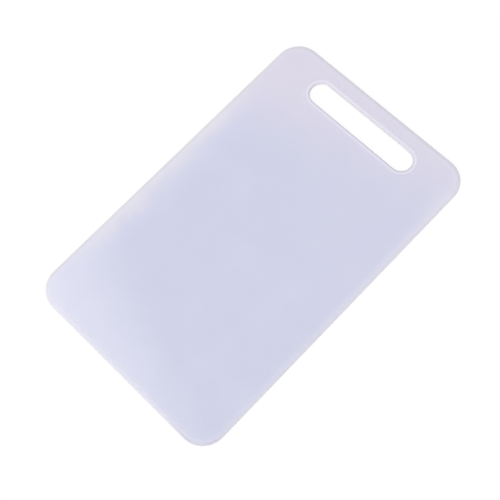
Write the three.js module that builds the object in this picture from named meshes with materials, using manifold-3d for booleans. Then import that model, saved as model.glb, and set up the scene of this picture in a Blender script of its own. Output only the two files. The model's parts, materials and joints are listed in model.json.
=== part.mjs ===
// A thin plastic cutting board: one moulding, with round corners, softened edges and a long finger
// slot at one end, framed by a low bead that is moulded with the board.
// Millimetres, +Z up. The board lies flat with the origin at the centre of its underside, X across it
// and Y along it towards the slot.

import * as THREE from "three";
import { mergeVertices } from "three/addons/utils/BufferGeometryUtils.js";
import Module from "manifold-3d";

// Driving dimensions of the plate
const boardLength = 350; // along Y
const boardWidth = 220; // along X
const boardThickness = 3; // from the underside to the cutting face
const cornerRadius = 24; // of the four corners in plan
const edgeInset = 4.5; // how far the outer edge's rounding reaches in over the faces
const edgeRise = 1.3; // how far it reaches down and up the wall

// Driving dimensions of the finger slot and its bead
const slotLength = 123; // clear opening, end to end
const slotWidth = 21.5; // clear opening, and the diameter of its round ends
const gripBarWidth = 18.7; // from the slot to the end of the board
const beadWidth = 4.6; // from the slot's wall to the bead's foot
const beadHeight = 0.3; // above the cutting face
const beadCrest = 0.8; // the narrow flat on top of the bead
const lipRise = 1.2; // how deep the slot's rounded lips reach down and up its wall

// How finely the round stretches are drawn
const arcSegments = 9; // a plan arc has twice as many chords
const roundingSegments = 6; // chords in each rounded edge
const leastFlat = 0.2; // what two roundings leave of the wall between them

// Worked out from the dimensions above
const slotCentreY = boardLength / 2 - gripBarWidth - slotWidth / 2;
const beadTop = boardThickness + beadHeight;
const beadRounding = (beadWidth - beadCrest) / 2;
const plateMargin = beadWidth / 2; // the plate is cut back to the middle of the bead

// The plate's outline, centred on the origin.
function roundedRectangle(width, length, radius) {
  const x = width / 2 - radius;
  const y = length / 2 - radius;
  const quarter = Math.PI / 2;
  const outline = new THREE.Shape();
  outline.absarc(x, y, radius, 0, quarter);
  outline.absarc(-x, y, radius, quarter, 2 * quarter);
  outline.absarc(-x, -y, radius, 2 * quarter, 3 * quarter);
  outline.absarc(x, -y, radius, 3 * quarter, 4 * quarter);
  outline.closePath();
  return outline;
}

// The slot's outline grown by a margin: two half circles joined by straight sides.
function slotOutline(margin, Outline = THREE.Shape) {
  const radius = slotWidth / 2 + margin;
  const x = (slotLength - slotWidth) / 2;
  const quarter = Math.PI / 2;
  const outline = new Outline();
  outline.absarc(x, slotCentreY, radius, -quarter, quarter);
  outline.absarc(-x, slotCentreY, radius, quarter, 3 * quarter);
  outline.closePath();
  return outline;
}

// An outline raised from z = 0 to a height, with every edge rounded by inset in plan and rise in height.
function roundedSlab(outline, height, inset, rise) {
  const usedRise = Math.min(rise, (height - leastFlat) / 2);
  return new THREE.ExtrudeGeometry(outline, {
    depth: height - 2 * usedRise,
    curveSegments: arcSegments,
    bevelEnabled: true,
    bevelSegments: roundingSegments,
    bevelThickness: usedRise,
    bevelSize: inset,
    bevelOffset: -inset,
  }).translate(0, 0, usedRise);
}

const wasm = await Module();
wasm.setup();

function toSolid(geometry) {
  const bare = geometry.clone();
  bare.deleteAttribute("normal");
  bare.deleteAttribute("uv");
  const merged = mergeVertices(bare);
  return new wasm.Manifold(
    new wasm.Mesh({
      numProp: 3,
      vertProperties: merged.attributes.position.array,
      triVerts: new Uint32Array(merged.index.array),
    }),
  );
}

function toGeometry(solid) {
  const { vertProperties, triVerts } = solid.getMesh();
  const geometry = new THREE.BufferGeometry();
  geometry.setAttribute("position", new THREE.BufferAttribute(vertProperties, 3));
  geometry.setIndex(new THREE.BufferAttribute(triVerts, 1));
  geometry.computeVertexNormals();
  return geometry;
}

// The flat plate, cut back around the slot to the middle of the bead.
function plateSolid() {
  const outline = roundedRectangle(boardWidth, boardLength, cornerRadius);
  const plate = toSolid(roundedSlab(outline, boardThickness, edgeInset, edgeRise));
  const cutter = new THREE.ExtrudeGeometry(slotOutline(plateMargin), {
    depth: 3 * boardThickness,
    curveSegments: arcSegments,
    bevelEnabled: false,
  }).translate(0, 0, -boardThickness);
  return plate.subtract(toSolid(cutter));
}

// The ring of material around the slot: its inner wall is the slot's, and its top is the bead.
function slotRingSolid() {
  const outline = slotOutline(beadWidth);
  outline.holes.push(slotOutline(0, THREE.Path));
  return toSolid(roundedSlab(outline, beadTop, beadRounding, lipRise));
}

const milkyPlastic = new THREE.MeshStandardMaterial({
  color: new THREE.Color().setRGB(0.82, 0.827, 0.906, THREE.SRGBColorSpace),
  roughness: 0.42,
  metalness: 0,
});

function makeBoard() {
  const board = new THREE.Mesh(toGeometry(plateSolid().add(slotRingSolid())), milkyPlastic);
  board.name = "board";
  return board;
}

const cuttingBoard = new THREE.Group();
cuttingBoard.add(makeBoard());

export default cuttingBoard;
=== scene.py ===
"""A thin plastic cutting board: its finished surface, material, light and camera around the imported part.

Metres, +Z up. The origin is at the centre of the underside, X runs across the board and Y along it
towards the finger slot.
"""

import json
import math

import bmesh
import bpy
from mathutils import Matrix, Vector, noise
from mathutils.geometry import delaunay_2d_cdt


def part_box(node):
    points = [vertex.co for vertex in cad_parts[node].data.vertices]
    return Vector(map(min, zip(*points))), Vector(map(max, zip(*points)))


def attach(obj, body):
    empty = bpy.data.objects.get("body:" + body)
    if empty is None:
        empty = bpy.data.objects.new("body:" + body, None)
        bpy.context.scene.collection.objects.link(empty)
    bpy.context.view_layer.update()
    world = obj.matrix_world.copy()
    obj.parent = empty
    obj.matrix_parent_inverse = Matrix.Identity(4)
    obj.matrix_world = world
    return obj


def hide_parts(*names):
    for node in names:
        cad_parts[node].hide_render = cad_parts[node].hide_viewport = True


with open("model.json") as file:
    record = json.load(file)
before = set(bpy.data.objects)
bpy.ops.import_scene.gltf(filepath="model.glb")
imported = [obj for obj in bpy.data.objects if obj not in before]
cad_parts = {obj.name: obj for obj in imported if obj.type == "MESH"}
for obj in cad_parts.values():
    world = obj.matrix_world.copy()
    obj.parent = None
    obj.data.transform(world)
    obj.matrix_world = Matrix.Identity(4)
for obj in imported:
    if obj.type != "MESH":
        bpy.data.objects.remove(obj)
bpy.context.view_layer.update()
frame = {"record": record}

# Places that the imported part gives
board_low, board_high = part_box("board")
mount_places = {mount["name"]: Vector(mount["pos_m"]) for mount in frame["record"]["mounts"]}
HALF_WIDTH = (board_high.x - board_low.x) / 2
HALF_LENGTH = (board_high.y - board_low.y) / 2
UNDERSIDE_Z = mount_places["rest_face"].z
FACE_Z = mount_places["cutting_face"].z
SLOT_TOP_Y = mount_places["hanging_edge"].y

# Driving sizes of the moulding. The inset counts in from the outline, the bead's crest and foot out
# from the slot's wall
CORNER_RADIUS = 0.024
EDGE_INSET = 0.0045
EDGE_RADIUS = 0.0005
CROWN_TILT = math.radians(16)
SLOT_LENGTH = 0.123
SLOT_WIDTH = 0.0215
BEAD_HEIGHT = 0.00008
BEAD_CREST_INNER = 0.0026
BEAD_CREST_OUTER = 0.0032
BEAD_FOOT = 0.0085
LIP_DROP = 0.0012
SEAM_PROUD = 0.00006
SEAM_HALF_HEIGHT = 0.00015
FACE_WAVE_HEIGHT = 0.00003
FACE_WAVE_LENGTH = 0.055

# How finely the surface is drawn, and how its flat faces are filled and their triangles joined
CORNER_STEPS = 24
SLOT_END_STEPS = 40
ROUNDING_STEPS = 12
BEAD_STEPS = 12
GRID_STEP = 0.004
BORDER_BAND = 0.0005
MERGE_DISTANCE = 1e-7
INSIDE_ONLY = 1
JOIN_TILT = math.radians(5)
JOIN_SKEW = math.radians(40)

# Worked out from the sizes above
BEAD_Z = FACE_Z + BEAD_HEIGHT
SLOT_RADIUS = SLOT_WIDTH / 2
SLOT_CENTRE_Y = SLOT_TOP_Y - SLOT_RADIUS
SLOT_HALF_SIDE = (SLOT_LENGTH - SLOT_WIDTH) / 2
FACE_WAVE_FADE = FACE_WAVE_LENGTH / 3
GRID_CLEAR = GRID_STEP / 2
QUARTER = math.pi / 2


def spaced(start, end, step):
    """Points from start up to, but without, end, about a step apart."""
    count = max(1, round((end - start).length / step))
    return [start.lerp(end, index / count) for index in range(count)]


def round_outline(centres, radius, first_turn, steps):
    """A closed outline: an equal arc about each centre, with straight sides between them."""
    sweep = 2 * math.pi / len(centres)
    arcs = []
    for index, centre in enumerate(centres):
        first = first_turn + sweep * index
        turns = [first + sweep * step / steps for step in range(steps + 1)]
        arcs.append([centre + radius * Vector((math.cos(turn), math.sin(turn))) for turn in turns])
    outline = []
    for arc, following in zip(arcs, arcs[1:] + arcs[:1]):
        outline += arc[:-1]
        outline += spaced(arc[-1], following[0], GRID_STEP)
    return outline


def board_outline(inset):
    """The board's outline in plan, moved inwards."""
    x = HALF_WIDTH - CORNER_RADIUS
    y = HALF_LENGTH - CORNER_RADIUS
    centres = [Vector(place) for place in ((x, y), (-x, y), (-x, -y), (x, -y))]
    return round_outline(centres, CORNER_RADIUS - inset, 0, CORNER_STEPS)


def slot_outline(grown):
    """The slot's outline in plan, moved outwards."""
    centres = [Vector((x, SLOT_CENTRE_Y)) for x in (SLOT_HALF_SIDE, -SLOT_HALF_SIDE)]
    return round_outline(centres, SLOT_RADIUS + grown, -QUARTER, SLOT_END_STEPS)


def edge_profile():
    """(inset, z) around the board's edge, from the cutting face to the underside."""
    shares = [step / ROUNDING_STEPS for step in range(ROUNDING_STEPS + 1)]
    crown_end = EDGE_RADIUS * (1 - math.sin(CROWN_TILT))
    crown_width = EDGE_INSET - crown_end
    # The crown is a parabola, which drops half as far as its end slope would
    crown_drop = crown_width * math.tan(CROWN_TILT) / 2
    over = [(EDGE_INSET - crown_width * share, FACE_Z - crown_drop * share**2) for share in shares]
    arc_centre_z = FACE_Z - crown_drop - EDGE_RADIUS * math.cos(CROWN_TILT)
    for share in shares[1:]:
        turn = CROWN_TILT + (QUARTER - CROWN_TILT) * share
        over.append((EDGE_RADIUS * (1 - math.sin(turn)), arc_centre_z + EDGE_RADIUS * math.cos(turn)))
    under = [(inset, FACE_Z + UNDERSIDE_Z - z) for inset, z in reversed(over)]
    middle = (FACE_Z + UNDERSIDE_Z) / 2
    seam = [(0, middle + SEAM_HALF_HEIGHT), (-SEAM_PROUD, middle), (0, middle - SEAM_HALF_HEIGHT)]
    return over + seam + under


def slot_profile():
    """(distance out from the slot's wall, z) from the bead's foot over the bead to the underside."""
    shares = [step / BEAD_STEPS for step in range(BEAD_STEPS + 1)]
    slope = [(BEAD_FOOT + (BEAD_CREST_OUTER - BEAD_FOOT) * share,
              FACE_Z + (BEAD_Z - FACE_Z) * (1 - math.cos(math.pi * share)) / 2)
             for share in shares]
    lip = [(BEAD_CREST_INNER * (1 - math.sin(QUARTER * share)),
            BEAD_Z - LIP_DROP * (1 - math.cos(QUARTER * share)))
           for share in shares]
    lower_lip = [(out, BEAD_Z + UNDERSIDE_Z - z) for out, z in reversed(lip)]
    return slope + lip + lower_lip


def edge_distance(x, y):
    """How far a point lies in from the board's outline."""
    over_x = abs(x) - (HALF_WIDTH - CORNER_RADIUS)
    over_y = abs(y) - (HALF_LENGTH - CORNER_RADIUS)
    outside = math.hypot(max(over_x, 0), max(over_y, 0))
    return CORNER_RADIUS - outside - min(max(over_x, over_y), 0)


def slot_distance(x, y):
    """How far a point lies out from the slot's wall."""
    along = max(abs(x) - SLOT_HALF_SIDE, 0)
    return math.hypot(along, y - SLOT_CENTRE_Y) - SLOT_RADIUS


def face_room(x, y):
    """How far a point of the cutting face lies from the face's nearest border."""
    return min(edge_distance(x, y) - EDGE_INSET, slot_distance(x, y) - BEAD_FOOT)


def grid_points():
    """Points of a square grid that lie clear of the board's edge and of the bead."""
    across = int(HALF_WIDTH / GRID_STEP)
    along = int(HALF_LENGTH / GRID_STEP)
    for row in range(-along, along + 1):
        for column in range(-across, across + 1):
            point = (column * GRID_STEP, row * GRID_STEP)
            if face_room(*point) > GRID_CLEAR:
                yield Vector(point)


def face_wave(x, y):
    """The slight unevenness of the moulded cutting face, which dies out at its borders."""
    fade = min(1, max(0, face_room(x, y) / FACE_WAVE_FADE))
    return FACE_WAVE_HEIGHT * fade * noise.noise(Vector((x, y, 0)) / FACE_WAVE_LENGTH)


def add_rings(bm, outline, profile):
    """Lofts an outline along a profile and returns the first and the last ring of vertices."""
    rings = []
    for distance, z in profile:
        rings.append([bm.verts.new((*point, z)) for point in outline(distance)])
    for upper, lower in zip(rings, rings[1:]):
        for corners in zip(upper, upper[1:] + upper[:1], lower[1:] + lower[:1], lower):
            bm.faces.new(corners)
    return rings[0], rings[-1]


def ring_edges(first, count):
    """The edges around a ring of points that are numbered from first."""
    return [(first + index, first + (index + 1) % count) for index in range(count)]


def fill_face(bm, outer, inner, slot_clear, z, waves):
    """Fills the flat face between the ring of the board's edge and the ring around the slot."""
    rings = outer + inner
    borders = ring_edges(0, len(outer)) + ring_edges(len(outer), len(inner))
    plan = [vertex.co.xy for vertex in rings] + list(grid_points())
    made = delaunay_2d_cdt(plan, borders, [], INSIDE_ONLY, MERGE_DISTANCE)
    places, triangles, sources = made[0], made[2], made[3]
    vertices = []
    for place, source in zip(places, sources):
        if source[0] < len(rings):
            vertices.append(rings[source[0]])
        else:
            height = z + (face_wave(*place) if waves else 0)
            vertices.append(bm.verts.new((*place, height)))
    for triangle in triangles:
        centre = sum((places[corner] for corner in triangle), Vector((0, 0))) / len(triangle)
        if slot_distance(*centre) > slot_clear:
            bm.faces.new([vertices[corner] for corner in triangle])


def add_distances(mesh):
    """Stores how far each vertex lies from the board's outline and from the slot's wall."""
    for name, distance in (("from_edge", edge_distance), ("from_slot", slot_distance)):
        attribute = mesh.attributes.new(name, "FLOAT", "POINT")
        values = [distance(vertex.co.x, vertex.co.y) for vertex in mesh.vertices]
        attribute.data.foreach_set("value", values)


def add_object(name, data):
    """Puts a new object into the scene."""
    made = bpy.data.objects.new(name, data)
    bpy.context.scene.collection.objects.link(made)
    return made


def make_board():
    """The board as one closed surface."""
    bm = bmesh.new()
    inset = EDGE_INSET + BORDER_BAND
    above = BEAD_FOOT + BORDER_BAND
    below = BEAD_CREST_INNER + BORDER_BAND
    edge = [(inset, FACE_Z), *edge_profile(), (inset, UNDERSIDE_Z)]
    slot = [(above, FACE_Z), *slot_profile(), (below, UNDERSIDE_Z)]
    outer_top, outer_bottom = add_rings(bm, board_outline, edge)
    inner_top, inner_bottom = add_rings(bm, slot_outline, slot)
    fill_face(bm, outer_top, inner_top, above, FACE_Z, True)
    fill_face(bm, outer_bottom, inner_bottom, below, UNDERSIDE_Z, False)
    triangles = [face for face in bm.faces if len(face.verts) == 3]
    bmesh.ops.join_triangles(
        bm, faces=triangles, angle_face_threshold=JOIN_TILT, angle_shape_threshold=JOIN_SKEW)
    bmesh.ops.recalc_face_normals(bm, faces=bm.faces)
    for face in bm.faces:
        face.smooth = True
    mesh = bpy.data.meshes.new("cutting_board")
    bm.to_mesh(mesh)
    bm.free()
    add_distances(mesh)
    return add_object("cutting_board", mesh)


# Colours of the plastic, as shares of the light sent back. The core and cloud colours are the plastic's
# own;
# the glow, wall, rim, lip and crest colours are painted light and shade
CORE_COLOUR = (0.638, 0.652, 0.801, 1)
CLOUD_COLOUR = (0.656, 0.667, 0.816, 1)
# Painted light: a paler glow in from the edge, for light coming in through it
PAINTED_GLOW_COLOUR = (0.800, 0.785, 0.870, 1)
# Painted shade on the board's edge wall
WALL_SHADE_COLOUR = (0.635, 0.625, 0.700, 1)
# Painted shade on the slot's wall
SLOT_WALL_SHADE_COLOUR = (0.630, 0.620, 0.660, 1)
# Painted shade: a grey line on the rounding of the edge
RIM_SHADE_COLOUR = (0.675, 0.660, 0.668, 1)
# Painted shade: a dark line on the slot's lip
LIP_SHADE_COLOUR = (0.602, 0.587, 0.630, 1)
# Painted highlight: a pale ring on the bead's crest
CREST_HIGHLIGHT_COLOUR = (0.870, 0.850, 0.920, 1)

# Paler veils of painted light, for sheen and for light coming in through the edges: the way that each one
# deepens, where along it the veil starts and is full, and its colour
SHEEN_VEILS = (
    {"towards": (0.74, 0.67, 0), "starts": 0.030, "full": 0.075, "colour": (0.652, 0.658, 0.805, 1)},
    {"towards": (-1, 0, 0), "starts": 0.070, "full": 0.092, "colour": (0.660, 0.670, 0.828, 1)},
    {"towards": (-1, 0, 0), "starts": 0.086, "full": 0.112, "colour": (0.781, 0.765, 0.845, 1)},
    {"towards": (-0.35, -0.94, 0), "starts": 0.100, "full": 0.176, "colour": (0.736, 0.743, 0.880, 1)},
    {"towards": (-0.50, -0.87, 0), "starts": 0.168, "full": 0.206, "colour": (0.800, 0.800, 0.930, 1)},
    {"towards": (-0.28, 0.96, 0), "starts": 0.073, "full": 0.160, "colour": (0.727, 0.698, 0.815, 1)},
    {"towards": (1, 0.08, 0), "starts": 0.099, "full": 0.150, "colour": (0.800, 0.785, 0.870, 1)},
)

# The veils' borders wander to and fro within this span, in waves of this size
SHEEN_VEIL_WANDER = 0.022
SHEEN_VEIL_WANDER_SIZE = 0.030

# Bands of painted light and shade along the edge and around the slot: their places, as distances from
# these, and the shares of their colours. A reach runs from where the band is full to where it ends
PAINTED_GLOW_REACH = (0.001, 0.009)
PAINTED_GLOW_SHARE = 0.30
# Painted shade: the grey line on the edge's rounding
RIM_SHADE_LINE = 0.0016
RIM_SHADE_HALF_WIDTH = 0.0020
RIM_SHADE_SHARE = 0.44
WALL_SHADE_REACH = (0.0003, 0.0008)
SLOT_WALL_SHADE_REACH = (0.0001, 0.0005)
# Painted shade on the slot's lip, stronger on the high side of the slot
LIP_SHADE_LINE = 0.0009
LIP_SHADE_HALF_WIDTH = 0.0010
LIP_SHADE_SHARE_LOW_SIDE = 0.48
LIP_SHADE_SHARE_HIGH_SIDE = 0.95
# Painted highlight on the bead's crest
CREST_HIGHLIGHT_LINE = 0.0028
CREST_HIGHLIGHT_HALF_WIDTH = 0.0022
CREST_HIGHLIGHT_SHARE = 0.50

# The one corner whose rim carries painted shade: the way to it, where along that the shade starts and is
# full, how far in from the edge it reaches, and its colour
SHADED_CORNER = {
    "towards": (0.53, -0.85, 0), "starts": 0.179, "full": 0.194, "reach": (0.0010, 0.0036),
    "colour": (0.612, 0.600, 0.690, 1)}

# Clouds in the plastic, its gloss, its fine relief and its scattering of light
CLOUD_SIZE = 0.045
CLOUD_COVER = (0.80, 0.45)
FACE_ROUGHNESS = (0.36, 0.44)
BEAD_ROUGHNESS = 0.14
ROUGHNESS_SIZE = 0.012
FROST_SIZE = 0.0007
FROST_HEIGHT = 0.000012
FROST_DETAIL = 1.0
PEEL_SIZE = 0.009
PEEL_HEIGHT = 0.00002
SCATTER_SHARE = 0.4
SCATTER_RADIUS = 0.003
SCATTER_RGB = (1, 1, 1)
PLASTIC_IOR = 1.49

# Fixed values for the node trees
NOISE_DETAIL = 2.0
NOISE_MIDDLE = (0.5, 0.5, 0.5)
ALONG_BOARD = (0, 1, 0)
WHITE = (1, 1, 1, 1)


class Graph:
    """Adds nodes to a node tree and links them."""

    def __init__(self, tree):
        self.tree = tree

    def feed(self, socket, value):
        """Links a socket to another node's output, or sets its own value."""
        if isinstance(value, bpy.types.NodeSocket):
            self.tree.links.new(value, socket)
        else:
            socket.default_value = value

    def node(self, kind, inputs, **settings):
        """A new node with its settings and inputs."""
        made = self.tree.nodes.new(kind)
        for name, value in settings.items():
            setattr(made, name, value)
        for name, value in inputs.items():
            self.feed(made.inputs[name], value)
        return made

    def math(self, operation, first, second=0.0):
        """A sum, product or the like of two values."""
        return self.node("ShaderNodeMath", {0: first, 1: second}, operation=operation).outputs[0]

    def vector(self, operation, output, inputs):
        """A sum, scaling or the like of vectors."""
        return self.node("ShaderNodeVectorMath", inputs, operation=operation).outputs[output]

    def along(self, place, way):
        """How far a place lies along a way."""
        return self.vector("DOT_PRODUCT", "Value", {0: place, 1: way})

    def fade(self, value, full, none):
        """1 where a value is at full, easing to 0 where it is at none."""
        inputs = {"Value": value, "From Min": full, "From Max": none, "To Min": 1, "To Max": 0}
        return self.node("ShaderNodeMapRange", inputs, interpolation_type="SMOOTHSTEP").outputs[0]

    def band(self, value, centre, half_width, share):
        """A share where a value is at a centre, easing to 0 at half a width to each side."""
        away = self.math("ABSOLUTE", self.math("SUBTRACT", value, centre))
        return self.math("MULTIPLY", self.fade(away, 0, half_width), share)

    def spread(self, value, low, high):
        """A value from 0 to 1, spread from low to high."""
        inputs = {"Value": value, "To Min": low, "To Max": high}
        return self.node("ShaderNodeMapRange", inputs).outputs[0]

    def blend(self, kind, share, first, second):
        """A first value or colour, with a share of a second."""
        made = self.node("ShaderNodeMix", {0: share}, data_type=kind)
        socket_type = {"RGBA": "RGBA", "FLOAT": "VALUE"}[kind]
        fitting = [socket for socket in made.inputs if socket.type == socket_type]
        ends = [socket for socket in fitting if socket.name != "Factor"]
        self.feed(ends[0], first)
        self.feed(ends[1], second)
        return next(socket for socket in made.outputs if socket.type == socket_type)

    def noise(self, place, size, output="Fac", detail=NOISE_DETAIL):
        """Soft noise of a given size, from 0 to 1."""
        inputs = {"Vector": place, "Scale": 1 / size, "Detail": detail}
        return self.node("ShaderNodeTexNoise", inputs).outputs[output]

    def wander(self, place, span, size):
        """A place that soft noise of a given size moves to and fro within a span."""
        cloud = self.noise(place, size, "Color")
        offset = self.vector("SUBTRACT", "Vector", {0: cloud, 1: NOISE_MIDDLE})
        shift = self.vector("SCALE", "Vector", {0: offset, "Scale": span})
        return self.vector("ADD", "Vector", {0: place, 1: shift})


def edge_bands(graph, place, from_edge):
    """(share, colour) of the painted light and shade along the board's edge, each over those before it."""
    # Painted light: a paler glow in from the edge
    glow = graph.math("MULTIPLY", graph.fade(from_edge, *PAINTED_GLOW_REACH), PAINTED_GLOW_SHARE)
    # Painted shade: a grey line on the edge's rounding
    rim = graph.band(from_edge, RIM_SHADE_LINE, RIM_SHADE_HALF_WIDTH, RIM_SHADE_SHARE)
    # Painted shade on the edge wall
    wall = graph.fade(from_edge, *WALL_SHADE_REACH)
    # Painted shade on the rim of one corner
    corner = graph.along(place, SHADED_CORNER["towards"])
    corner_shade = graph.math(
        "MULTIPLY", graph.fade(corner, SHADED_CORNER["full"], SHADED_CORNER["starts"]),
        graph.fade(from_edge, *SHADED_CORNER["reach"]))
    return [(glow, PAINTED_GLOW_COLOUR), (rim, RIM_SHADE_COLOUR), (wall, WALL_SHADE_COLOUR), (corner_shade, SHADED_CORNER["colour"])]


def slot_bands(graph, place, from_slot):
    """(share, colour) of the painted highlight and shade around the slot, each over those before it."""
    # Painted highlight: a pale ring on the bead's crest
    crest = graph.band(from_slot, CREST_HIGHLIGHT_LINE, CREST_HIGHLIGHT_HALF_WIDTH, CREST_HIGHLIGHT_SHARE)
    # Painted shade on the slot's wall
    wall = graph.fade(from_slot, *SLOT_WALL_SHADE_REACH)
    # Painted shade: the lip's dark line is stronger on the high side, where the key light falls on the lip
    high_side = graph.fade(graph.along(place, ALONG_BOARD), SLOT_TOP_Y, SLOT_TOP_Y - SLOT_WIDTH)
    lip_shade_share = graph.spread(high_side, LIP_SHADE_SHARE_LOW_SIDE, LIP_SHADE_SHARE_HIGH_SIDE)
    lip = graph.band(from_slot, LIP_SHADE_LINE, LIP_SHADE_HALF_WIDTH, lip_shade_share)
    return [(crest, CREST_HIGHLIGHT_COLOUR), (wall, SLOT_WALL_SHADE_COLOUR), (lip, LIP_SHADE_COLOUR)]


def plastic_colour(graph, place, from_edge, from_slot):
    """Lavender milky plastic with painted light and shade: paler towards the edges, with grey lines of
    painted shade along the edge and around the slot, and a painted highlight on the bead.
    """
    clouds = graph.fade(graph.noise(place, CLOUD_SIZE), *CLOUD_COVER)
    colour = graph.blend("RGBA", clouds, CORE_COLOUR, CLOUD_COLOUR)
    wandering = graph.wander(place, SHEEN_VEIL_WANDER, SHEEN_VEIL_WANDER_SIZE)
    # Painted light: paler veils for sheen and for light coming in through the edges
    for veil in SHEEN_VEILS:
        depth = graph.along(wandering, veil["towards"])
        share = graph.fade(depth, veil["full"], veil["starts"])
        colour = graph.blend("RGBA", share, colour, veil["colour"])
    for share, tint in edge_bands(graph, place, from_edge) + slot_bands(graph, place, from_slot):
        colour = graph.blend("RGBA", share, colour, tint)
    return colour


def plastic_bump(graph, place, smooth):
    """A faint orange peel, and frost over it where the surface isn't smooth."""
    peel = graph.node("ShaderNodeBump", {
        "Height": graph.noise(place, PEEL_SIZE), "Strength": 1.0, "Distance": PEEL_HEIGHT})
    frost = graph.node("ShaderNodeBump", {
        "Height": graph.noise(place, FROST_SIZE, detail=FROST_DETAIL),
        "Strength": graph.spread(smooth, 1, 0), "Distance": FROST_HEIGHT, "Normal": peel.outputs[0]})
    return frost.outputs[0]


def board_plastic():
    """Milky plastic with a satin face and a smoother bead."""
    material = bpy.data.materials.new("milky_plastic")
    material.use_nodes = True
    graph = Graph(material.node_tree)
    place = graph.node("ShaderNodeTexCoord", {}).outputs["Object"]
    from_edge = graph.node("ShaderNodeAttribute", {}, attribute_name="from_edge").outputs["Fac"]
    from_slot = graph.node("ShaderNodeAttribute", {}, attribute_name="from_slot").outputs["Fac"]
    shader = material.node_tree.nodes["Principled BSDF"].inputs
    graph.feed(shader["Base Color"], plastic_colour(graph, place, from_edge, from_slot))
    smooth = graph.fade(from_slot, BEAD_CREST_OUTER, BEAD_FOOT)
    graph.feed(shader["Normal"], plastic_bump(graph, place, smooth))
    satin = graph.spread(graph.noise(place, ROUGHNESS_SIZE), *FACE_ROUGHNESS)
    graph.feed(shader["Roughness"], graph.blend("FLOAT", smooth, satin, BEAD_ROUGHNESS))
    shader["IOR"].default_value = PLASTIC_IOR
    shader["Subsurface Weight"].default_value = SCATTER_SHARE
    shader["Subsurface Radius"].default_value = SCATTER_RGB
    shader["Subsurface Scale"].default_value = SCATTER_RADIUS
    return material


# The camera, which stands where the photograph was taken from
CAMERA_AZIMUTH = math.radians(57.977)
CAMERA_ELEVATION = math.radians(71.365)
CAMERA_ROLL = math.radians(-14.402)
CAMERA_DISTANCE = 0.9125
CAMERA_TARGET = Vector((0.00920, -0.01330, 0.004))
CAMERA_LENS = 72.063
CAMERA_CLIP = 0.01

# The light and the floor. The floor's own white is just over 1, because the share that carries the
# shadow is a little darker than white
WORLD_LIGHT = 0.81
KEY_AZIMUTH = math.radians(5)
KEY_ELEVATION = math.radians(23)
KEY_DISTANCE = 12
KEY_SIZE = 9
KEY_WATTS = 816
FLOOR_GAP = 0.0002
FLOOR_SIZE = 8
FLOOR_SHADOW = 0.15
FLOOR_WHITE = 1.03
FLOOR_COLOUR = (0.95, 0.95, 0.95, 1)


def way_out(azimuth, elevation):
    """The way from the board out to a camera or lamp. Azimuth 0 is the end away from the slot."""
    return Vector((
        math.sin(azimuth) * math.cos(elevation),
        -math.cos(azimuth) * math.cos(elevation),
        math.sin(elevation)))


def make_camera():
    """The camera at the photograph's viewing angle."""
    camera = add_object("camera", bpy.data.cameras.new("camera"))
    back = way_out(CAMERA_AZIMUTH, CAMERA_ELEVATION)
    level = (-back).to_track_quat("-Z", "Y").to_matrix().to_4x4()
    roll = Matrix.Rotation(CAMERA_ROLL, 4, "Z")
    camera.matrix_world = Matrix.Translation(CAMERA_TARGET + back * CAMERA_DISTANCE) @ level @ roll
    camera.data.lens = CAMERA_LENS
    camera.data.clip_start = CAMERA_CLIP
    bpy.context.scene.camera = camera


def shown_white(graph):
    """1 for the rays that show the backdrop: straight, mirrored or through something clear."""
    rays = graph.node("ShaderNodeLightPath", {}).outputs
    shown = rays["Is Camera Ray"]
    for name in ("Is Glossy Ray", "Is Transmission Ray"):
        shown = graph.math("MAXIMUM", shown, rays[name])
    return shown


def make_world():
    """An even white studio."""
    world = bpy.data.worlds.new("studio")
    bpy.context.scene.world = world
    world.use_nodes = True
    graph = Graph(world.node_tree)
    light = world.node_tree.nodes["Background"]
    graph.feed(light.inputs["Color"], WHITE)
    graph.feed(light.inputs["Strength"], WORLD_LIGHT)
    white = graph.node("ShaderNodeBackground", {"Color": WHITE})
    mix = graph.node("ShaderNodeMixShader", {
        0: shown_white(graph), 1: light.outputs[0], 2: white.outputs[0]})
    graph.feed(world.node_tree.nodes["World Output"].inputs["Surface"], mix.outputs[0])


def make_key_light():
    """A large square lamp that faces the board's centre."""
    lamp = bpy.data.lights.new("key", "AREA")
    lamp.size = KEY_SIZE
    lamp.energy = KEY_WATTS
    softbox = add_object("key", lamp)
    away = way_out(KEY_AZIMUTH, KEY_ELEVATION)
    softbox.location = away * KEY_DISTANCE
    softbox.rotation_euler = (-away).to_track_quat("-Z", "Y").to_euler()
    softbox.visible_camera = False


def floor_white():
    """White to the eye, with a matt share that shows the board's shadow."""
    material = bpy.data.materials.new("white_floor")
    material.use_nodes = True
    graph = Graph(material.node_tree)
    nodes = material.node_tree.nodes
    nodes.remove(nodes["Principled BSDF"])
    matt = graph.node("ShaderNodeBsdfDiffuse", {"Color": FLOOR_COLOUR})
    white = graph.node("ShaderNodeEmission", {"Strength": FLOOR_WHITE})
    share = graph.math("MULTIPLY", shown_white(graph), 1 - FLOOR_SHADOW)
    mix = graph.node("ShaderNodeMixShader", {0: share, 1: matt.outputs[0], 2: white.outputs[0]})
    graph.feed(nodes["Material Output"].inputs["Surface"], mix.outputs[0])
    return material


def make_floor():
    """A white floor just under the board."""
    half = FLOOR_SIZE / 2
    z = UNDERSIDE_Z - FLOOR_GAP
    corners = [(-half, -half, z), (half, -half, z), (half, half, z), (-half, half, z)]
    mesh = bpy.data.meshes.new("floor")
    mesh.from_pydata(corners, [], [(0, 1, 2, 3)])
    mesh.materials.append(floor_white())
    floor = add_object("floor", mesh)


make_camera()
make_world()
make_floor()
make_key_light()
board = make_board()
board.data.materials.append(board_plastic())
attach(board, "root")
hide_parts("board")

bpy.context.scene.view_settings.view_transform = "Standard"
